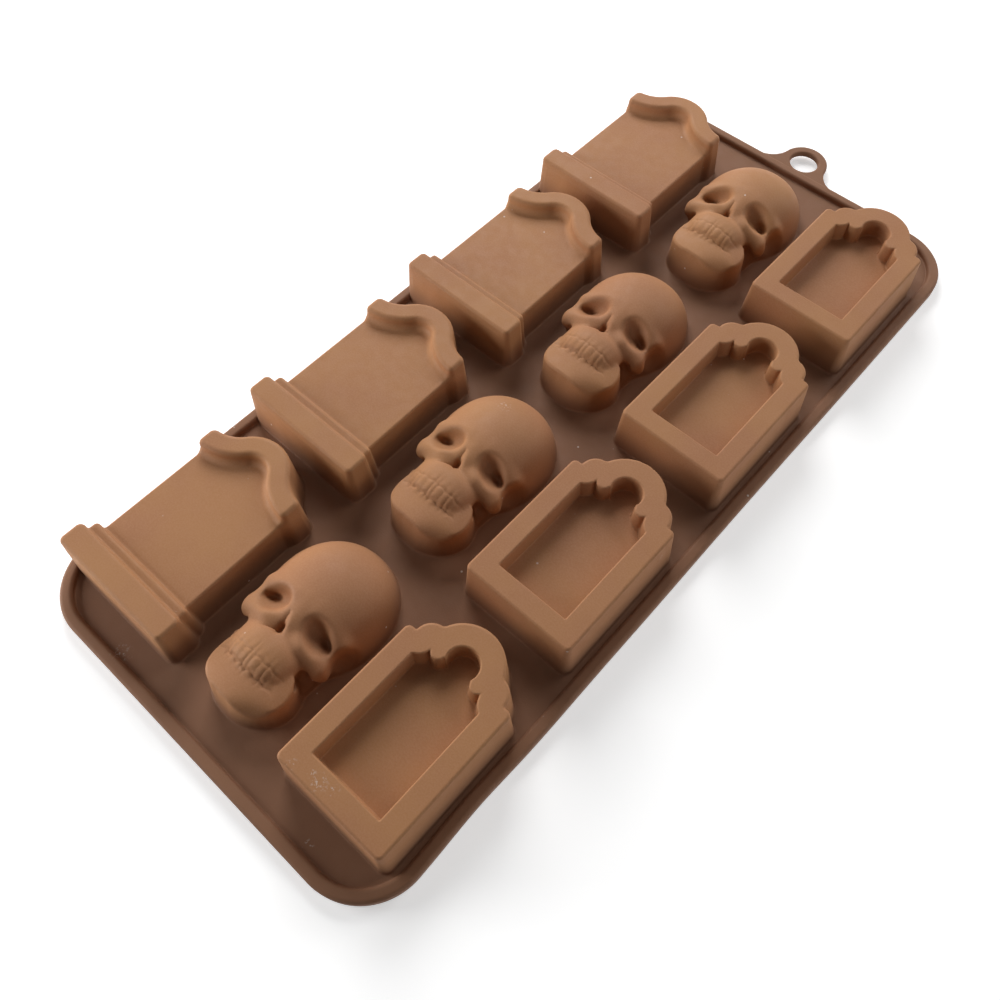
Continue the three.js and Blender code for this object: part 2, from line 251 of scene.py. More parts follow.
# Colours, in linear light, and the grain, specks and scuffs of the silicone
SILICONE_WARM = (0.43, 0.207, 0.088)
SILICONE_RED = (0.39, 0.178, 0.085)
SILICONE_PALE = (0.47, 0.243, 0.13)
# Painted shade: the darker brown given to the web and the feet of the walls, and the height where it
# fades out, stand in for the shade between the cups
PAINTED_SHADE_BROWN = (0.24, 0.118, 0.066)
DUST = (0.75, 0.68, 0.62)
PAINTED_SHADE_HEIGHT = 10
CLOUD_SCALE = 45
NOISE_SPAN = (0.3, 0.7)
GRAIN_SCALE = 2600
GRAIN_SPAN = (0.3, 0.75)
GRAIN_SHARE = 0.35
GRAIN_DEPTH = 0.12
GRAIN_STRENGTH = 0.25
ROUGHNESS = (0.6, 0.7)
ROUGHNESS_SCALE = 400
GLOSS = 0.25
SPECK_SCALE = 600
SPECK_SHARE = 0.012
SPECK_RADIUS = (0.08, 0.2)
SPECK_STRENGTH = 0.7
SCUFF_SCALE = 1700
SCUFF_SPAN = (0.52, 0.66)
SCUFF_STRENGTH = 0.45

# Middles and radii of the scuffed places, in millimetres
SCUFFS = [
    (-25.7, -113.9, 1.5, 3),
    (22.5, -105.1, 13.8, 1.6),
    (26.5, -103.6, 13.8, 1.3),
    (28.8, -104, 13.8, 2.6),
    (31.8, -103.1, 13.8, 1.8),
    (-18.8, -100.2, 12, 1.1),
    (32.5, -113, 1.5, 1.5),
    (46.6, -22.2, 10, 2),
    (-2.8, -16.7, 13.5, 3),
]

# Floor and world: metres, a grey level and strengths
FLOOR_WIDTH = 0.9
FLOOR_DROP = 0.0002
FLOOR_GREY = 0.9
FLOOR_ROUGHNESS = 0.9
FLOOR_LIFT = 0.5
WORLD_LIGHT = 0.03

# Lamps: the side and height they shine from in degrees, distance and width in metres, and watts
LAMPS = [
    ("far_left", 142, 36, 0.7, 0.35, 3.9),
    ("far", 75, 30, 0.7, 0.35, 1.3),
    ("near_left", 222, 14, 0.4, 0.2, 1.15),
    ("right", 0, 12, 0.4, 0.2, 0.3),
]

# Camera: place in millimetres, turns in degrees, and a full-frame lens
CAMERA_PLACE = (78.35, -107.65, 188.32)
CAMERA_TURNS = (29.413, -0.058, 41.982)
CAMERA_LENS = 32.86
CAMERA_SENSOR = 36
CAMERA_SHIFT = (-0.0047, -0.0106)
CAMERA_CLIP = 0.01

# How finely the surfaces are taken from their fields, and how many faces each kind keeps
CELL = 0.2
GRID_MARGIN = 3.5
GRID_BELOW = 1
GRID_ABOVE = 2
TAB_GRID_LOW = (-16, -3, 0)
TAB_GRID_HIGH = (16, 13, 4)
SKULL_HALF_WIDTH = 14.5
SKULL_LENGTH = 46
SLOPE_REACH = 0.02
LEAST_SLOPE = 0.5
SETTLING_ROUNDS = 2
KEPT_FACES = 40000

# How finely outlines and rounded sections are drawn
CORNER_STEPS = 40
EDGE_STEP = 2
ROUNDING_POINTS = 9
FILLET_POINTS = 6
SHARP_ANGLE = 60
COLLAR_POINTS = 360
COLLAR_STEP = 0.05
COLLAR_REACH = 40

# How far from a cup's front the point lies from which its whole collar is seen
TOMBSTONE_VIEW_Y = 6
SKULL_VIEW_Y = 27
FRAME_VIEW_Y = 24

ROWS = 4


# Fields: negative inside a body, positive outside it, in millimetres

def box2(x, y, half_x, half_y, rounding=0.0):
    over_x = np.abs(x) - half_x + rounding
    over_y = np.abs(y) - half_y + rounding
    outer = np.hypot(np.maximum(over_x, 0), np.maximum(over_y, 0))
    return outer + np.minimum(np.maximum(over_x, over_y), 0) - rounding


def circle2(x, y, centre_x, centre_y, radius):
    return np.hypot(x - centre_x, y - centre_y) - radius


def round_union(a, b, radius):
    corner = np.hypot(np.maximum(radius - a, 0), np.maximum(radius - b, 0))
    return np.maximum(radius, np.minimum(a, b)) - corner


def round_cut(a, b, radius):
    """What two bodies share, with its edge rounded."""
    corner = np.hypot(np.maximum(radius + a, 0), np.maximum(radius + b, 0))
    return np.minimum(-radius, np.maximum(a, b)) + corner


def soft_union(a, b, width):
    share = np.clip(0.5 + (b - a) / (2 * width), 0, 1)
    return b + (a - b) * share - width * share * (1 - share)


def soft_cut(a, b, width):
    """Body a without body b, with a soft edge between them."""
    return -soft_union(-a, b, width)


def block(plan, z, top, rounding):
    """A block with leaning walls over a plan, rounded along its top edge."""
    wall = (plan - LEAN * (CUP_TOP - z)) / math.hypot(1, LEAN)
    return round_cut(wall, z - top, rounding)


def pebble(x, y, z, centre, radii, power=2.0):
    """Nearly the distance to an ellipsoid, or to a boxier body where power is more than 2."""
    offsets = (x - centre[0], y - centre[1], z - centre[2])
    parts = [np.abs(offset) / radius for offset, radius in zip(offsets, radii)]
    total = np.maximum(parts[0] ** power + parts[1] ** power + parts[2] ** power, 1e-9)
    steep = sum((part ** (power - 1) / radius) ** 2 for part, radius in zip(parts, radii))
    reach = total ** (1 / power)
    distance = (reach - 1) * total / (reach * np.sqrt(np.maximum(steep, 1e-12)))
    return np.maximum(distance, -min(radii))


def rod(x, y, z, start, end, start_radius, end_radius):
    """Distance to a straight rod with round ends, which may taper."""
    line = np.subtract(end, start)
    along = (x - start[0]) * line[0] + (y - start[1]) * line[1] + (z - start[2]) * line[2]
    share = np.clip(along / line.dot(line), 0, 1)
    px = x - start[0] - share * line[0]
    py = y - start[1] - share * line[1]
    pz = z - start[2] - share * line[2]
    return np.sqrt(px ** 2 + py ** 2 + pz ** 2) - start_radius - share * (end_radius - start_radius)


# Tombstone, with y from the front of its plinth

def ogee(x, y):
    """Distance above the cap's upper edge: a full arc in the middle and a hollow one at each end."""
    half = CAP_WIDTH / 2
    radius = (half ** 2 + CAP_RISE ** 2) / (4 * CAP_RISE)
    side = np.minimum(np.abs(x), half)
    full_y = CAP_DISTANCE + CAP_RISE - radius
    hollow_y = CAP_DISTANCE + radius
    full = np.hypot(side, y - full_y) - radius
    hollow = radius - np.hypot(side - half, y - hollow_y)
    beside = side * (hollow_y - full_y) > (y - full_y) * half
    return np.where(beside, hollow, full)


def tombstone(x, y, z):
    side = np.abs(x)
    edge = ogee(x, y)
    plinth = box2(x, y - PLINTH_DEPTH / 2, PLINTH_WIDTH / 2, PLINTH_DEPTH / 2, PLINTH_CORNER)
    moulding_y = (PLINTH_DEPTH + MOULDING_DEPTH) / 2
    moulding = box2(x, y - moulding_y, MOULDING_WIDTH / 2, moulding_y, MOULDING_CORNER)
    slab = np.maximum(np.maximum(side - SLAB_WIDTH / 2, SLAB_START - y), edge + BAND / 2)
    cap = round_cut(np.abs(edge + BAND / 2) - BAND / 2, side - CAP_WIDTH / 2, CAP_CORNER)
    base = round_union(
        block(plinth, z, CUP_TOP, PLINTH_EDGE),
        block(moulding, z, MOULDING_TOP, MOULDING_EDGE),
        MOULDING_COVE,
    )
    body = round_union(
        block(slab, z, SLAB_TOP, SLAB_EDGE),
        block(cap, z, CUP_TOP, CAP_EDGE),
        CAP_COVE,
    )
    return round_union(base, body, SLAB_COVE)


# Arched frame, with y from its front

def frame_plan(x, y):
    side = np.abs(x)
    sides = box2(x, y - FRAME_SIDE / 2, FRAME_WIDTH / 2, FRAME_SIDE / 2, FRAME_CORNER)
    scallop_x = FRAME_WIDTH / 2 - FRAME_LEDGE - SCALLOP_RADIUS
    scallop = circle2(side, y, scallop_x, SCALLOP_Y, SCALLOP_RADIUS)
    arch = circle2(x, y, 0, ARCH_Y, ARCH_RADIUS)
    return round_union(round_union(sides, scallop, SCALLOP_NOTCH), arch, ARCH_NOTCH)


def opening_plan(x, y):
    """The recess: a panel with a cove at each upper corner, and a round lobe each side of its arch."""
    side = np.abs(x)
    half = FRAME_WIDTH / 2 - BAND
    arch_radius = ARCH_RADIUS - BAND
    middle = (BAND + LOBE_Y) / 2
    panel = box2(x, y - middle, half, (LOBE_Y - BAND) / 2, PANEL_CORNER)
    cove = circle2(side, y, half + COVE_SETBACK, COVE_Y, COVE_RADIUS)
    lobe = circle2(side, y, arch_radius + LOBE_RADIUS, LOBE_Y, LOBE_RADIUS)
    arch = circle2(x, y, 0, ARCH_Y, arch_radius)
    return round_cut(round_cut(np.minimum(panel, arch), -cove, COVE_CUSP), -lobe, LOBE_CUSP)


def arched_frame(x, y, z):
    body = block(frame_plan(x, y), z, CUP_TOP, FRAME_EDGE)
    recess = round_cut(opening_plan(x, y) + LEAN * (CUP_TOP - z), PANEL_TOP - z, RECESS_FOOT)
    return round_cut(body, -recess, RECESS_EDGE)


# Skull, with y from the foot of its chin

def tilted(x, y, centre_x, centre_y, degrees):
    turn = math.radians(degrees)
    over_x = x - centre_x
    over_y = y - centre_y
    return (
        over_x * math.cos(turn) + over_y * math.sin(turn),
        over_y * math.cos(turn) - over_x * math.sin(turn),
    )


def skull_bones(x, y, z):
    """Cranium, face, cheekbones, brows, bridge of the nose, lower jaw and upper jaw."""
    side = np.abs(x)
    form = pebble(x, y, z, *CRANIUM)
    form = soft_union(form, pebble(x, y, z, *FACE), FACE_BLEND)
    form = soft_union(form, rod(side, y, z, *CHEEKBONE), CHEEKBONE_BLEND)
    form = soft_union(form, rod(side, y, z, *BROW), BROW_BLEND)
    form = soft_union(form, rod(side, y, z, *EYE_RIM), EYE_RIM_BLEND)
    form = soft_union(form, rod(side, y, z, *BRIDGE), BRIDGE_BLEND)
    form = soft_union(form, lower_jaw(x, y, z), JAW_BLEND)
    return soft_union(form, pebble(x - MUZZLE_X, y, z, *UPPER_JAW), JAW_BLEND)


def lower_jaw(x, y, z):
    """A steep wall over a round plan, under a crowned top that falls towards its two ends."""
    across = x - JAW_X
    along = y - JAW_Y
    power = np.where(across < 0, JAW_LEFT_POWER, JAW_RIGHT_POWER)
    total = np.abs(across / JAW_HALF_WIDTH) ** power + np.abs(along / JAW_HALF_LENGTH) ** power
    reach = np.maximum(total, 1e-6) ** (1 / power)
    aside = np.abs(across - JAW_LEAN_X) / JAW_LEAN_REACH
    lean = JAW_LEAN * np.clip(JAW_LEAN_PEAK - aside, JAW_LEAN_LEAST, 1)
    wall = (reach - 1) * JAW_HALF_LENGTH * JAW_WALL_STRETCH + lean * (z - SHEET_TOP)
    forward = np.maximum(JAW_CREST_Y - y, 0)
    backward = np.maximum(y - JAW_CREST_Y, 0)
    corner = np.maximum(across, 0) * np.minimum(forward / JAW_CREST_Y, 1)
    top = JAW_TOP - JAW_SIDE_FALL * across ** 2 - JAW_CORNER_FALL * corner ** 2
    top = top - JAW_FRONT_FALL * forward ** 2 - JAW_BACK_FALL * backward ** 2
    body = round_cut(wall, (z - top) * JAW_TOP_STRETCH, JAW_ROUNDING)
    return round_cut(body, y - JAW_END, JAW_END_ROUNDING)


def eye_hollows(x, y, z):
    """A shallow dish, and a deep hole in its outer part that runs in under the brow."""
    along, across = tilted(np.abs(x), y, EYE_X, EYE_Y, EYE_TILT)
    dish = pebble(along, across, z, *EYE_DISH)
    hole = pebble(along, across - EYE_SLANT * (EYE_LEVEL - z), z, *EYE_HOLE)
    return dish, hole


def nose_hollow(x, y, z):
    """A pit with a gentle left slope and a steep right one, which meet in a crease, and a hole."""
    drop = (NOSE_TOP - y) / (NOSE_TOP - NOSE_FOOT)
    left = NOSE_LEVEL - NOSE_SLOPE * (x - NOSE_X + NOSE_LEFT * drop)
    right = NOSE_LEVEL - NOSE_STEEP * (NOSE_X + NOSE_RIGHT * drop - x)
    foot = NOSE_FOOT + NOSE_FOOT_SLANT * (x - NOSE_X)
    plan = np.maximum(foot - y, y - NOSE_TOP)
    pit = np.maximum(plan, (np.maximum(left, right) - z) * NOSE_STRETCH)
    return soft_union(pit, pebble(x, y, z, *NOSE_HOLE), NOSE_HOLE_BLEND)


def cheek_hollow(x, y, z):
    """The gap between the upper jaw, the cheekbone and the end of the lower jaw."""
    side = np.abs(x - MUZZLE_X)
    return soft_union(rod(side, y, z, *CHEEK_GAP), rod(side, y, z, *CHEEK_PIT), CHEEK_PIT_BLEND)


def waver(x, size, rate):
    return size * np.sin(rate * x)


def groove(along, line, depth, width):
    return depth * np.exp(-(((along - line) / width) ** 2))


def teeth(x, y):
    """How far the teeth stand out: faint roots, crowns between two lines, a fainter row below."""
    across = x - MUZZLE_X + waver(x, *COLUMN_WAVER)
    along = y + waver(x, *LINE_WAVER)
    columns = np.abs(np.cos(math.pi * across / TOOTH_WIDTH)) - TOOTH_MEAN
    roots = np.clip((ROOT_LINE - along) / (ROOT_LINE - CROWN_LINE), 0, 1)
    below = np.clip((along - BITE_LINE) / TOOTH_FADE + 1, 0, 1)
    under_roots = np.clip((CROWN_LINE - along) / CROWN_EDGE, 0, 1)
    over_bite = np.clip((along - BITE_LINE) / CROWN_EDGE, 0, 1)
    crowns = under_roots * over_bite
    rise = columns * (ROOT_RISE * np.minimum(roots, below) + CROWN_RISE * crowns)
    crown_groove = groove(along, CROWN_LINE, CROWN_GROOVE_DEPTH, CROWN_GROOVE_WIDTH)
    bite_groove = groove(along, BITE_LINE, BITE_GROOVE_DEPTH, BITE_GROOVE_WIDTH)
    share = np.clip((ROW_HALF_WIDTH - np.abs(x - MUZZLE_X)) / ROW_FADE, 0, 1)
    return share * (rise - crown_groove - bite_groove)


def skull(x, y, z):
    form = skull_bones(x, y, z)
    dish, hole = eye_hollows(x, y, z)
    form = soft_cut(form, dish, EYE_DISH_BLEND)
    form = soft_cut(form, hole, EYE_HOLE_BLEND)
    form = soft_cut(form, nose_hollow(x, y, z), NOSE_BLEND)
    form = soft_cut(form, cheek_hollow(x, y, z), CHEEK_BLEND)
    form = soft_cut(form, pebble(x, y, z, *TEMPLE), TEMPLE_BLEND)
    return form - teeth(x, y)


# The kinds of cup: name, form, where the collar is seen from, half the width and the length
CUPS = [
    ("tombstone_cup", tombstone, TOMBSTONE_VIEW_Y, PLINTH_WIDTH / 2, CAP_DISTANCE + CAP_RISE),
    ("skull_cup", skull, SKULL_VIEW_Y, SKULL_HALF_WIDTH, SKULL_LENGTH),
    ("frame_cup", arched_frame, FRAME_VIEW_Y, FRAME_WIDTH / 2, ARCH_Y + ARCH_RADIUS),
]


# From fields to meshes

def surface(field, low, high, cell):
    """Points and four-cornered faces where the field passes through zero, one point to a cell."""
    axes = [np.arange(a, b + cell, cell) for a, b in zip(low, high)]
    shape = np.array([len(axis) for axis in axes])
    values = field(*np.meshgrid(*axes, indexing="ij", sparse=True))
    inside = values < 0
    owners = []
    crossings = []
    quads = []
    for axis in range(3):
        near = [slice(None)] * 3
        far = [slice(None)] * 3
        near[axis] = slice(None, -1)
        far[axis] = slice(1, None)
        near = tuple(near)
        far = tuple(far)
        at = np.argwhere(inside[near] != inside[far])
        first = values[near][tuple(at.T)]
        second = values[far][tuple(at.T)]
        point = at.astype(float)
        point[:, axis] += first / (first - second)
        step_a = np.eye(3, dtype=int)[(axis + 1) % 3]
        step_b = np.eye(3, dtype=int)[(axis + 2) % 3]
        ring = [at, at - step_a, at - step_a - step_b, at - step_b]
        ids = np.stack([np.ravel_multi_index(corner.T, shape) for corner in ring], axis=1)
        ids = np.where((first < 0)[:, None], ids, ids[:, ::-1])
        quads.append(ids)
        owners.append(ids.ravel())
        crossings.append(np.repeat(point, 4, axis=0))
    cells, index = np.unique(np.concatenate(owners), return_inverse=True)
    crossings = np.concatenate(crossings)
    count = np.bincount(index)
    mean = np.stack([np.bincount(index, crossings[:, axis]) / count for axis in range(3)], axis=1)
    faces = np.searchsorted(cells, np.concatenate(quads))
    return np.array(low) + mean * cell, faces


def slope(field, points):
    """The field's gradient at points."""
    parts = []
    for axis in range(3):
        shift = np.eye(3)[axis] * SLOPE_REACH
        rise = field(*(points + shift).T) - field(*(points - shift).T)
        parts.append(rise / (2 * SLOPE_REACH))
    return np.stack(parts, axis=1)


def settled(field, points, reach):
    """Points drawn onto the surface, each by less than reach."""
    for _ in range(SETTLING_ROUNDS):
        gradient = slope(field, points)
        strength = np.maximum((gradient ** 2).sum(axis=1), LEAST_SLOPE ** 2)
        move = gradient * (field(*points.T) / strength)[:, None]
        length = np.linalg.norm(move, axis=1)
        points = points - move * np.minimum(1, reach / np.maximum(length, 1e-9))[:, None]
    return points


def mesh_from(name, points, faces):
    mesh = bpy.data.meshes.new(name)
    mesh.from_pydata((points * MM).tolist(), [], faces.tolist())
    mesh.shade_smooth()
    return mesh


def thinned(mesh, faces):
    """The mesh with about that many triangles."""
    holder = bpy.data.objects.new("thinning", mesh)
    bpy.context.scene.collection.objects.link(holder)
    change = holder.modifiers.new("thin", "DECIMATE")
    change.ratio = min(1, faces / (2 * len(mesh.polygons)))
    bpy.context.view_layer.update()
    found = holder.evaluated_get(bpy.context.evaluated_depsgraph_get())
    thin = bpy.data.meshes.new_from_object(found)
    bpy.data.objects.remove(holder)
    thin.shade_smooth()
    return thin


def shade_by(mesh, field):
    """Gives the mesh's points the field's own directions."""
    points = np.empty(3 * len(mesh.vertices), np.float32)
    mesh.vertices.foreach_get("co", points)
    gradient = slope(field, points.reshape(-1, 3).astype(float) / MM)
    gradient /= np.maximum(np.linalg.norm(gradient, axis=1), 1e-9)[:, None]
    mesh.normals_split_custom_set_from_vertices(gradient.tolist())


def shade_by_faces(mesh):
    """Gives the mesh's points the mean direction of their faces, in which large faces count most."""
    count = len(mesh.polygons)
    normals = np.empty(3 * count, np.float32)
    areas = np.empty(count, np.float32)
    sides = np.empty(count, np.int32)
    corners = np.empty(len(mesh.loops), np.int32)
    mesh.polygons.foreach_get("normal", normals)
    mesh.polygons.foreach_get("area", areas)
    mesh.polygons.foreach_get("loop_total", sides)
    mesh.loops.foreach_get("vertex_index", corners)
    pulls = np.repeat(normals.reshape(-1, 3) * areas[:, None], sides, axis=0)
    size = len(mesh.vertices)
    total = np.stack([np.bincount(corners, pull, size) for pull in pulls.T], axis=1)
    total /= np.maximum(np.linalg.norm(total, axis=1), 1e-20)[:, None]
    mesh.normals_split_custom_set_from_vertices(total.tolist())


def add_piece(name, mesh, node, place=(0, 0)):
    mesh.transform(Matrix.Translation((place[0] * MM, place[1] * MM, 0)))
    piece = bpy.data.objects.new(name, mesh)
    bpy.context.scene.collection.objects.link(piece)
    mesh.materials.clear()
    mesh.materials.append(silicone)
    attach(piece, "root")
    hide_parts(node)
    return piece


# Places, from the frame

def node_box(name):
    low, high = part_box(name)
    return np.array(low) / MM, np.array(high) / MM


sheet_low, sheet_high = node_box("sheet")
left_edge, near_edge = sheet_low[:2]
right_edge, far_edge = sheet_high[:2]


def cup_place(node):
    """The middle of a cup's width, and the front of its top."""
    low, high = node_box(node)
    return (low[0] + high[0]) / 2, low[1] + DRAFT


# Cups

def collar_line(form, centre_y):
    """The line in which the sheet and a cup meet: angles and distances from a point inside."""
    angles = np.linspace(-math.pi, math.pi, COLLAR_POINTS, endpoint=False)
    reach = np.arange(0, COLLAR_REACH, COLLAR_STEP)[:, None]
    foot = form(reach * np.cos(angles), centre_y + reach * np.sin(angles), np.array(SHEET_TOP))
    held = foot < -COLLAR_INSET
    last = len(reach) - 1 - np.argmax(held[::-1], axis=0)
    return angles, reach[last, 0]


def cup_field(form, line, centre_y):
    """A cup's whole body: its outside, its foot, its collar in the sheet and its hollow."""
    angles, distances = line

    def field(x, y, z):
        outside = form(x, y, np.maximum(z, SHEET_TOP))
        skin = round_union(outside, z - SHEET_TOP + FLANGE_SINK, FOOT_FILLET)
        flange = np.maximum(FLANGE_BOTTOM - z, outside - FOOT_FILLET - FLANGE)
        turn = np.arctan2(y - centre_y, x)
        edge = np.interp(turn, angles, distances, period=2 * math.pi)
        collar = np.maximum(np.hypot(x, y - centre_y) - edge - COLLAR_OVERLAP, COLLAR_BOTTOM - z)
        body = np.maximum(skin, np.minimum(flange, collar))
        return round_cut(body, -outside - WALL, MOUTH_ROUNDING)

    return field


def cup_mesh(kind, form, centre_y, half_width, length):
    line = collar_line(form, centre_y)
    field = cup_field(form, line, centre_y)
    low = (-half_width - GRID_MARGIN, -GRID_MARGIN, -GRID_BELOW)
    high = (half_width + GRID_MARGIN, length + GRID_MARGIN, CUP_TOP + GRID_ABOVE)
    points, faces = surface(field, low, high, CELL)
    points = settled(field, points, CELL / 2)
    mesh = thinned(mesh_from(kind, points, faces), KEPT_FACES)
    if form is skull:
        shade_by(mesh, field)
    else:
        shade_by_faces(mesh)
    return mesh, line


# Sheet, bead and tab

def bowed(points):
    """The sheet's right edge isn't quite straight: it is drawn in at a few places."""
    bow = 0
    for distance, length, depth in BOWS:
        bow = bow + depth * np.exp(-(((points[:, 1] - near_edge - distance) / length) ** 2) / 2)
    share = np.clip((points[:, 0] - BOW_START) / BOW_LENGTH, 0, 1)
    moved = points.copy()
    moved[:, 0] -= bow * share * share * (3 - 2 * share)
    return moved


def sheet_outline(inset):
    """Points along the sheet's edge, anticlockwise from its near right corner."""
    radius = SHEET_CORNER - inset
    low = np.array([left_edge, near_edge]) + SHEET_CORNER
    high = np.array([right_edge, far_edge]) - SHEET_CORNER
    corners = [(high[0], low[1]), (high[0], high[1]), (low[0], high[1]), (low[0], low[1])]
    points = []
    for quarter, (x, y) in enumerate(corners):
        turns = np.radians(np.linspace(-90, 0, CORNER_STEPS + 1) + 90 * quarter)
        arc = np.stack([x + radius * np.cos(turns), y + radius * np.sin(turns)], axis=1)
        points.append(arc)
        onward = (quarter + 1) % 4
        turn = math.radians(90 * quarter)
        start = np.array(corners[onward]) + radius * np.array([math.cos(turn), math.sin(turn)])
        span = np.linalg.norm(start - arc[-1])
        shares = np.linspace(0, 1, round(span / EDGE_STEP) + 1)[1:-1, None]
        points.append(arc[-1] + shares * (start - arc[-1]))
    return bowed(np.concatenate(points))


def looped_loft(name, rings):
    """A closed tube through rings of points, from the last one back to the first."""
    count = len(rings[0])
    total = len(rings) * count
    here = np.arange(total).reshape(len(rings), count)
    beside = np.roll(here, -1, axis=1)
    above = np.roll(here, -1, axis=0)
    faces = np.stack([here, beside, np.roll(above, -1, axis=1), above], axis=-1)
    return mesh_from(name, np.concatenate(rings), faces.reshape(-1, 4))


def raised(outline, z):
    return np.column_stack([outline, np.full(len(outline), z)])


def quarter_arc(inset, z, radius, start, end, count):
    """Points of an arc in the bead's section, round a middle, from one angle to another."""
    turns = np.radians(np.linspace(start, end, count))
    return [(inset + radius * math.cos(turn), z + radius * math.sin(turn)) for turn in turns]


def bead_mesh():
    """The bead, with a skirt that closes the sheet's outer edge and a base sunk into its top."""
    crest = BEAD_HEIGHT - BEAD_ROUNDING
    fillet_inset = BEAD_WIDTH + BEAD_FILLET
    fillet_z = SHEET_TOP + BEAD_FILLET - FLANGE_SINK
    section = [
        (SHEET_INSET, 0),
        (BEAD_CHAMFER, 0),
        (0, BEAD_CHAMFER),
        *quarter_arc(BEAD_ROUNDING, crest, BEAD_ROUNDING, 180, 90, ROUNDING_POINTS),
        *quarter_arc(BEAD_WIDTH - BEAD_ROUNDING, crest, BEAD_ROUNDING, 90, 0, ROUNDING_POINTS),
        *quarter_arc(fillet_inset, fillet_z, BEAD_FILLET, 180, 270, FILLET_POINTS),
        (BEAD_WIDTH, BEAD_BOTTOM),
        (SHEET_INSET, BEAD_BOTTOM),
    ]
    mesh = looped_loft("bead", [raised(sheet_outline(inset), z) for inset, z in section])
    mesh.set_sharp_from_angle(angle=math.radians(SHARP_ANGLE))
    return mesh


def sheet_mesh(lines):
    """The web: its top and bottom with a hole for each cup, and the walls between them."""
    mesh = bpy.data.meshes.new("sheet")
    made = bmesh.new()
    loops = []
    for line in [sheet_outline(SHEET_INSET), *lines]:
        low = [made.verts.new(point) for point in raised(line, 0) * MM]
        high = [made.verts.new(point) for point in raised(line, SHEET_TOP) * MM]
        loops.append((low, high))
    for level in (0, 1):
        edges = []
        for loop in loops:
            ring = loop[level]
            edges += [made.edges.new((ring[i - 1], ring[i])) for i in range(len(ring))]
        up = Vector((0, 0, 2 * level - 1))
        found = bmesh.ops.triangle_fill(made, use_beauty=True, edges=edges, normal=up)
        for face in [item for item in found["geom"] if isinstance(item, bmesh.types.BMFace)]:
            face.normal_update()
            if face.normal.dot(up) < 0:
                face.normal_flip()
    for low, high in loops:
        for i in range(len(low)):
            made.faces.new((low[i - 1], low[i], high[i], high[i - 1]))
    bmesh.ops.recalc_face_normals(made, faces=made.faces)
    made.to_mesh(mesh)
    made.free()
    return mesh


def tab(x, y, z):
    """The hanging ring and the flares that run into the far edge, with y from that edge."""
    side = np.abs(x)
    reach = TAB_RING + TAB_FLARE
    flare_x = math.sqrt(reach ** 2 - (TAB_FLARE - TAB_DISTANCE) ** 2)
    touch_y = TAB_FLARE - TAB_FLARE * (TAB_FLARE - TAB_DISTANCE) / reach
    ring = circle2(x, y, 0, TAB_DISTANCE, TAB_RING)
    flare = circle2(side, y, flare_x, TAB_FLARE, TAB_FLARE)
    web = np.maximum(np.maximum(side - flare_x, y - touch_y), -flare)
    hole = circle2(x, y, 0, TAB_DISTANCE, TAB_HOLE)
    plan = np.maximum(np.minimum(ring, web), -hole)
    plan = np.maximum(plan, -TAB_ROOT - y)
    middle = (TAB_LOW + TAB_HIGH) / 2
    return round_cut(plan, np.abs(z - middle) - (TAB_HIGH - TAB_LOW) / 2, TAB_ROUNDING)


def tab_mesh():
    points, faces = surface(tab, TAB_GRID_LOW, TAB_GRID_HIGH, CELL)
    mesh = mesh_from("tab", settled(tab, points, CELL / 2), faces)
    shade_by(mesh, tab)
    return mesh


# Materials

def add_node(tree, kind, **settings):
    node = tree.nodes.new(kind)
    for key, value in settings.items():
        setattr(node, key, value)
    return node


def noise(tree, place, scale, detail):
    node = add_node(tree, "ShaderNodeTexNoise")
    node.inputs["Scale"].default_value = scale
    node.inputs["Detail"].default_value = detail
    tree.links.new(place, node.inputs["Vector"])
    return node.outputs["Fac"]


def ramp(tree, value, low, high, from_value, to_value):
    node = add_node(tree, "ShaderNodeMapRange", interpolation_type="SMOOTHSTEP")
    tree.links.new(value, node.inputs["Value"])
    node.inputs["From Min"].default_value = low
    node.inputs["From Max"].default_value = high
    node.inputs["To Min"].default_value = from_value
    node.inputs["To Max"].default_value = to_value
    return node.outputs["Result"]


def combine(tree, operation, a, b):
    node = add_node(tree, "ShaderNodeMath", operation=operation)
    for socket, value in zip(node.inputs, (a, b)):
        if isinstance(value, (int, float)):
            socket.default_value = value
        else:
            tree.links.new(value, socket)
    return node.outputs["Value"]


def blended(tree, share, first, second):
    """A colour between two others, which are colours or sockets."""
    node = add_node(tree, "ShaderNodeMix", data_type="RGBA")
    tree.links.new(share, node.inputs["Factor"])
    for socket, value in zip((node.inputs[6], node.inputs[7]), (first, second)):
        if isinstance(value, tuple):
            socket.default_value = (*value, 1)
        else:
            tree.links.new(value, socket)
    return node.outputs[2]


def specks(tree, place):
    """Small pale dust specks, in a few of the cells of a fine pattern."""
    cells = add_node(tree, "ShaderNodeTexVoronoi")
    cells.inputs["Scale"].default_value = SPECK_SCALE
    tree.links.new(place, cells.inputs["Vector"])
    parts = add_node(tree, "ShaderNodeSeparateColor")
    tree.links.new(cells.outputs["Color"], parts.inputs["Color"])
    chosen = ramp(tree, parts.outputs["Red"], 1 - SPECK_SHARE, 1 - SPECK_SHARE / 2, 0, 1)
    near = ramp(tree, cells.outputs["Distance"], *SPECK_RADIUS, 1, 0)
    return combine(tree, "MULTIPLY", chosen, near)


def scuffs(tree, place):
    """Pale scuffs, broken up by noise, round a few places."""
    scratch = ramp(tree, noise(tree, place, SCUFF_SCALE, 4), *SCUFF_SPAN, 0, 1)
    total = None
    for *centre, radius in SCUFFS:
        gap = add_node(tree, "ShaderNodeVectorMath", operation="DISTANCE")
        tree.links.new(place, gap.inputs[0])
        gap.inputs[1].default_value = [value * MM for value in centre]
        patch = ramp(tree, gap.outputs["Value"], 0, radius * MM, 1, 0)
        total = patch if total is None else combine(tree, "MAXIMUM", total, patch)
    return combine(tree, "MULTIPLY", total, scratch)


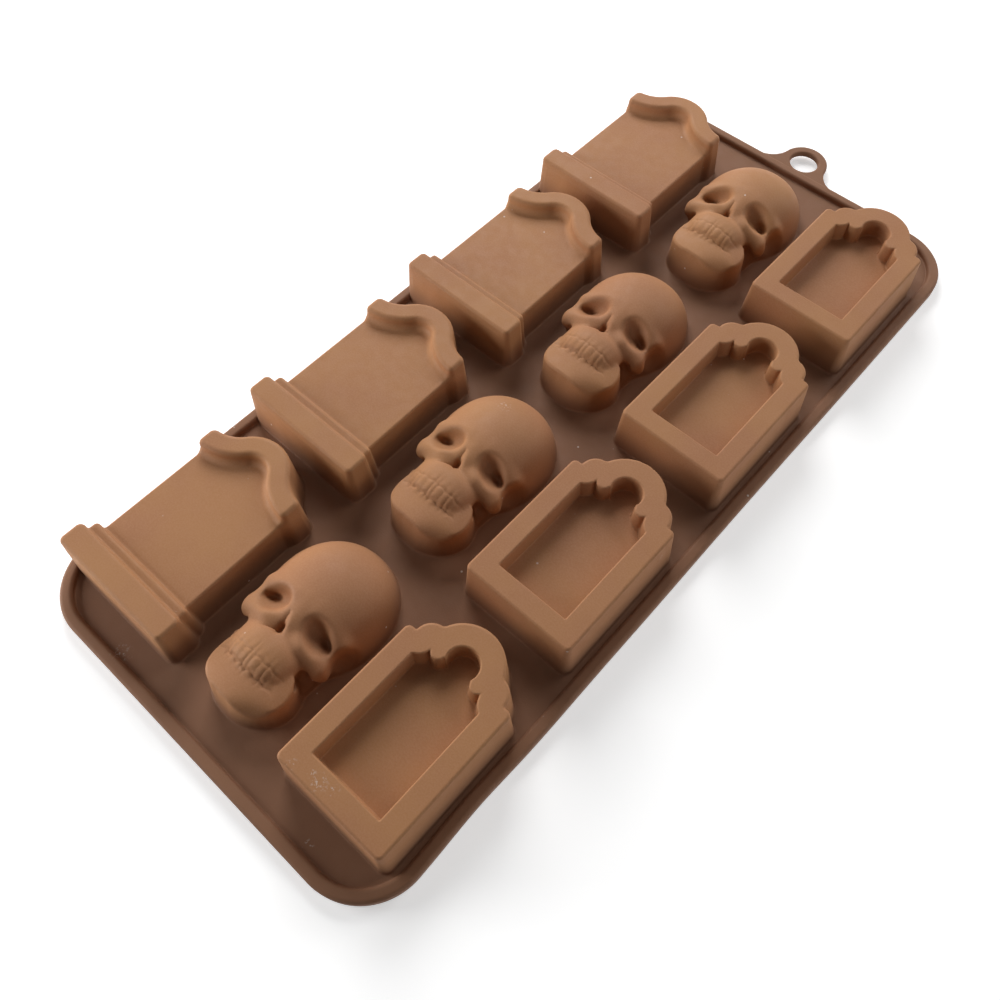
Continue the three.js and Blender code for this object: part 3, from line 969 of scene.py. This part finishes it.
def silicone_material():
    """Brown silicone: cloudy and grainy, with painted shade that darkens it towards the sheet, and with
    dust and scuffs.
    """
    material = bpy.data.materials.new("silicone")
    material.use_nodes = True
    tree = material.node_tree
    shader = tree.nodes["Principled BSDF"]
    place = add_node(tree, "ShaderNodeTexCoord").outputs["Object"]
    clouds = ramp(tree, noise(tree, place, CLOUD_SCALE, 3), *NOISE_SPAN, 0, 1)
    grain = noise(tree, place, GRAIN_SCALE, 2)
    colour = blended(tree, clouds, SILICONE_WARM, SILICONE_RED)
    paleness = ramp(tree, grain, *GRAIN_SPAN, 0, GRAIN_SHARE)
    colour = blended(tree, paleness, colour, SILICONE_PALE)
    # Painted shade: the colour turns to the darker brown from the cup tops down to the sheet, standing
    # in for the shade that falls between the cups
    height = add_node(tree, "ShaderNodeSeparateXYZ")
    tree.links.new(place, height.inputs["Vector"])
    painted_shade = ramp(tree, height.outputs["Z"], SHEET_TOP * MM, PAINTED_SHADE_HEIGHT * MM, 1, 0)
    colour = blended(tree, painted_shade, colour, PAINTED_SHADE_BROWN)
    for marks, strength in ((specks, SPECK_STRENGTH), (scuffs, SCUFF_STRENGTH)):
        share = combine(tree, "MULTIPLY", marks(tree, place), strength)
        colour = blended(tree, share, colour, DUST)
    tree.links.new(colour, shader.inputs["Base Color"])
    roughness = ramp(tree, noise(tree, place, ROUGHNESS_SCALE, 3), *NOISE_SPAN, *ROUGHNESS)
    tree.links.new(roughness, shader.inputs["Roughness"])
    shader.inputs["Specular IOR Level"].default_value = GLOSS
    bump = add_node(tree, "ShaderNodeBump")
    bump.inputs["Strength"].default_value = GRAIN_STRENGTH
    bump.inputs["Distance"].default_value = GRAIN_DEPTH * MM
    tree.links.new(grain, bump.inputs["Height"])
    tree.links.new(bump.outputs["Normal"], shader.inputs["Normal"])
    return material


def seen_directly(tree):
    """One for what the camera, a gloss or a clear body sees, and nothing for the light on the mould."""
    path = add_node(tree, "ShaderNodeLightPath")
    total = path.outputs["Is Camera Ray"]
    for name in ("Is Glossy Ray", "Is Transmission Ray"):
        total = combine(tree, "MAXIMUM", total, path.outputs[name])
    return total


def floor_material():
    """A pale, matt floor that keeps the shadow, and is lifted only where it is seen directly."""
    material = bpy.data.materials.new("floor")
    material.use_nodes = True
    tree = material.node_tree
    shader = tree.nodes["Principled BSDF"]
    shader.inputs["Base Color"].default_value = (FLOOR_GREY, FLOOR_GREY, FLOOR_GREY, 1)
    shader.inputs["Roughness"].default_value = FLOOR_ROUGHNESS
    shader.inputs["Specular IOR Level"].default_value = 0
    shader.inputs["Emission Color"].default_value = (1, 1, 1, 1)
    lift = combine(tree, "MULTIPLY", seen_directly(tree), FLOOR_LIFT)
    tree.links.new(lift, shader.inputs["Emission Strength"])
    return material


# All pieces

silicone = silicone_material()

lines = []
for kind, form, centre_y, half_width, length in CUPS:
    mesh, (angles, distances) = cup_mesh(kind, form, centre_y, half_width, length)
    collar = np.stack([np.cos(angles), np.sin(angles)], axis=1) * distances[:, None]
    for row in range(1, ROWS + 1):
        node = f"{kind}_{row}"
        place = cup_place(node)
        add_piece(f"{node}_body", mesh.copy(), node, place)
        lines.append(collar + (place[0], place[1] + centre_y))
    bpy.data.meshes.remove(mesh)

add_piece("sheet_web", sheet_mesh(lines), "sheet")
add_piece("edge_bead", bead_mesh(), "rim_bead")
add_piece("hanging_ring", tab_mesh(), "hanging_tab", (0, far_edge))


# Floor, lamps, camera and world

def add_floor():
    mesh = bpy.data.meshes.new("floor")
    half = FLOOR_WIDTH / 2
    corners = [(-half, -half, 0), (half, -half, 0), (half, half, 0), (-half, half, 0)]
    mesh.from_pydata(corners, [], [(0, 1, 2, 3)])
    mesh.materials.append(floor_material())
    floor = bpy.data.objects.new("floor", mesh)
    floor.location.z = -FLOOR_DROP
    bpy.context.scene.collection.objects.link(floor)


def add_lamp(name, azimuth, elevation, distance, size, power):
    """A square lamp that faces the mould, from that side and height, in degrees and metres."""
    data = bpy.data.lights.new(name, "AREA")
    data.size = size
    data.energy = power
    lamp = bpy.data.objects.new(name, data)
    turn = math.radians(azimuth)
    rise = math.radians(elevation)
    flat = math.cos(rise)
    towards = Vector((math.cos(turn) * flat, math.sin(turn) * flat, math.sin(rise)))
    lamp.location = towards * distance
    lamp.rotation_euler = towards.to_track_quat("Z", "Y").to_euler()
    bpy.context.scene.collection.objects.link(lamp)


def add_camera():
    data = bpy.data.cameras.new("camera")
    data.lens = CAMERA_LENS
    data.sensor_width = CAMERA_SENSOR
    data.shift_x, data.shift_y = CAMERA_SHIFT
    data.clip_start = CAMERA_CLIP
    camera = bpy.data.objects.new("camera", data)
    camera.location = Vector(CAMERA_PLACE) * MM
    camera.rotation_euler = [math.radians(turn) for turn in CAMERA_TURNS]
    bpy.context.scene.collection.objects.link(camera)
    bpy.context.scene.camera = camera


def add_world():
    world = bpy.data.worlds.new("world")
    world.use_nodes = True
    tree = world.node_tree
    background = tree.nodes["Background"]
    background.inputs["Color"].default_value = (1, 1, 1, 1)
    strength = ramp(tree, seen_directly(tree), 0, 1, WORLD_LIGHT, 1)
    tree.links.new(strength, background.inputs["Strength"])
    bpy.context.scene.world = world


add_floor()
for lamp in LAMPS:
    add_lamp(*lamp)
add_camera()
add_world()
bpy.context.scene.view_settings.view_transform = "Standard"
